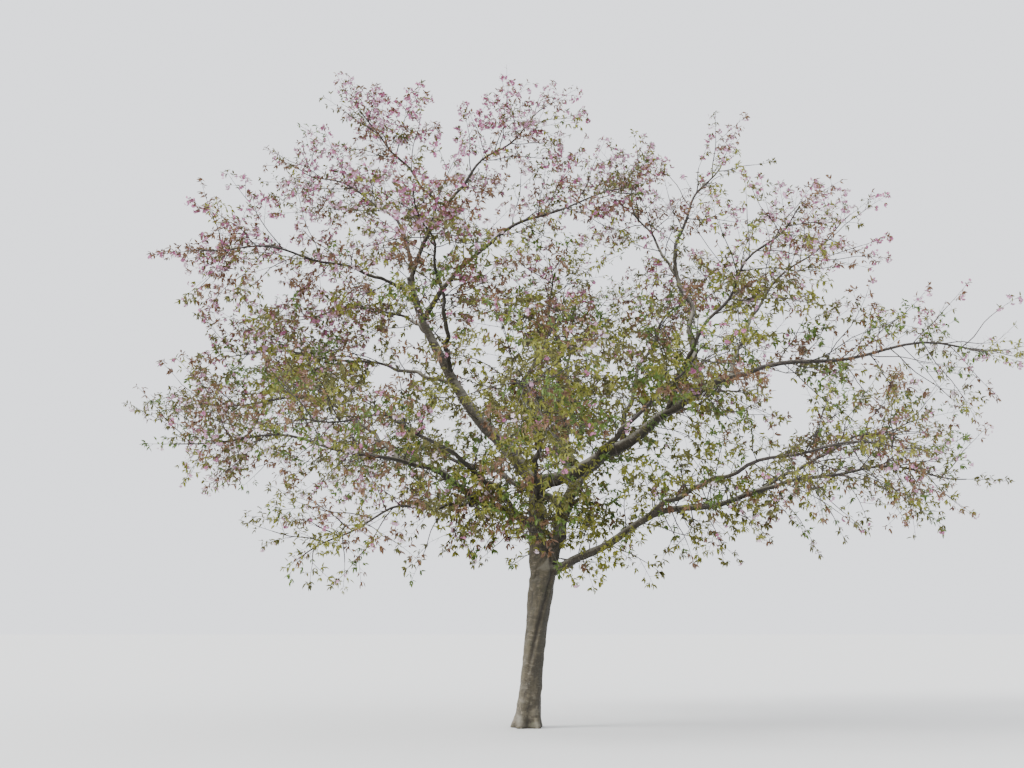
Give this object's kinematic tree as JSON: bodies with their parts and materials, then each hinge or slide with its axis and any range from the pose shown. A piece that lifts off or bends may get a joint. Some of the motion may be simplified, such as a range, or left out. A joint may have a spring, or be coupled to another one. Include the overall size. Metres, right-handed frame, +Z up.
{
  "type": "cherry blossom tree",
  "caption": "Broad open cherry blossom tree with a leaning trunk that forks low, long tapering boughs, and loose masses of young leaves and blossom.",
  "frame": {"origin": "middle of the trunk's flat cut at ground level", "axes": "+Z is up, +X is to the right in the picture, along the crown's widest spread, and +Y points away from the viewer"},
  "size_m": [12.6477, 9.641, 9.4278],
  "materials": {
    "bark": "rough grey-brown bark",
    "foliage": "matt olive young leaves with pale pink blossom"
  },
  "bodies": {
    "root": {"bough_back": "bark", "bough_back_high": "bark", "bough_back_high_left": "bark", "bough_back_high_right": "bark", "bough_back_left": "bark", "bough_back_right": "bark", "bough_centre": "bark", "bough_centre_high": "bark", "bough_front": "bark", "bough_front_high": "bark", "bough_front_left": "bark", "bough_front_right": "bark", "bough_front_right_high": "bark", "bough_left_high": "bark", "bough_left_low": "bark", "bough_left_mid": "bark", "bough_left_outer": "bark", "bough_left_under": "bark", "bough_left_upper": "bark", "bough_low_right": "bark", "bough_low_right_up": "bark", "bough_over_middle": "bark", "bough_right": "bark", "bough_right_up": "bark", "bough_right_up_left": "bark", "bough_right_up_right": "bark", "bough_top": "bark", "bough_top_left": "bark", "bough_top_middle": "bark", "mass_back": "foliage", "mass_back_high": "foliage", "mass_back_high_left": "foliage", "mass_back_high_right": "foliage", "mass_back_left": "foliage", "mass_back_right": "foliage", "mass_centre": "foliage", "mass_centre_high": "foliage", "mass_front": "foliage", "mass_front_high": "foliage", "mass_front_left": "foliage", "mass_front_right": "foliage", "mass_front_right_high": "foliage", "mass_left_low": "foliage", "mass_left_mid": "foliage", "mass_left_outer": "foliage", "mass_left_under": "foliage", "mass_left_upper": "foliage", "mass_low_right": "foliage", "mass_low_right_up": "foliage", "mass_over_middle": "foliage", "mass_right": "foliage", "mass_right_up": "foliage", "mass_right_up_left": "foliage", "mass_right_up_right": "foliage", "mass_top": "foliage", "mass_top_left": "foliage", "mass_top_middle": "foliage", "stem_left": "bark", "stem_right": "bark", "trunk": "bark"}
  },
  "joints": []
}
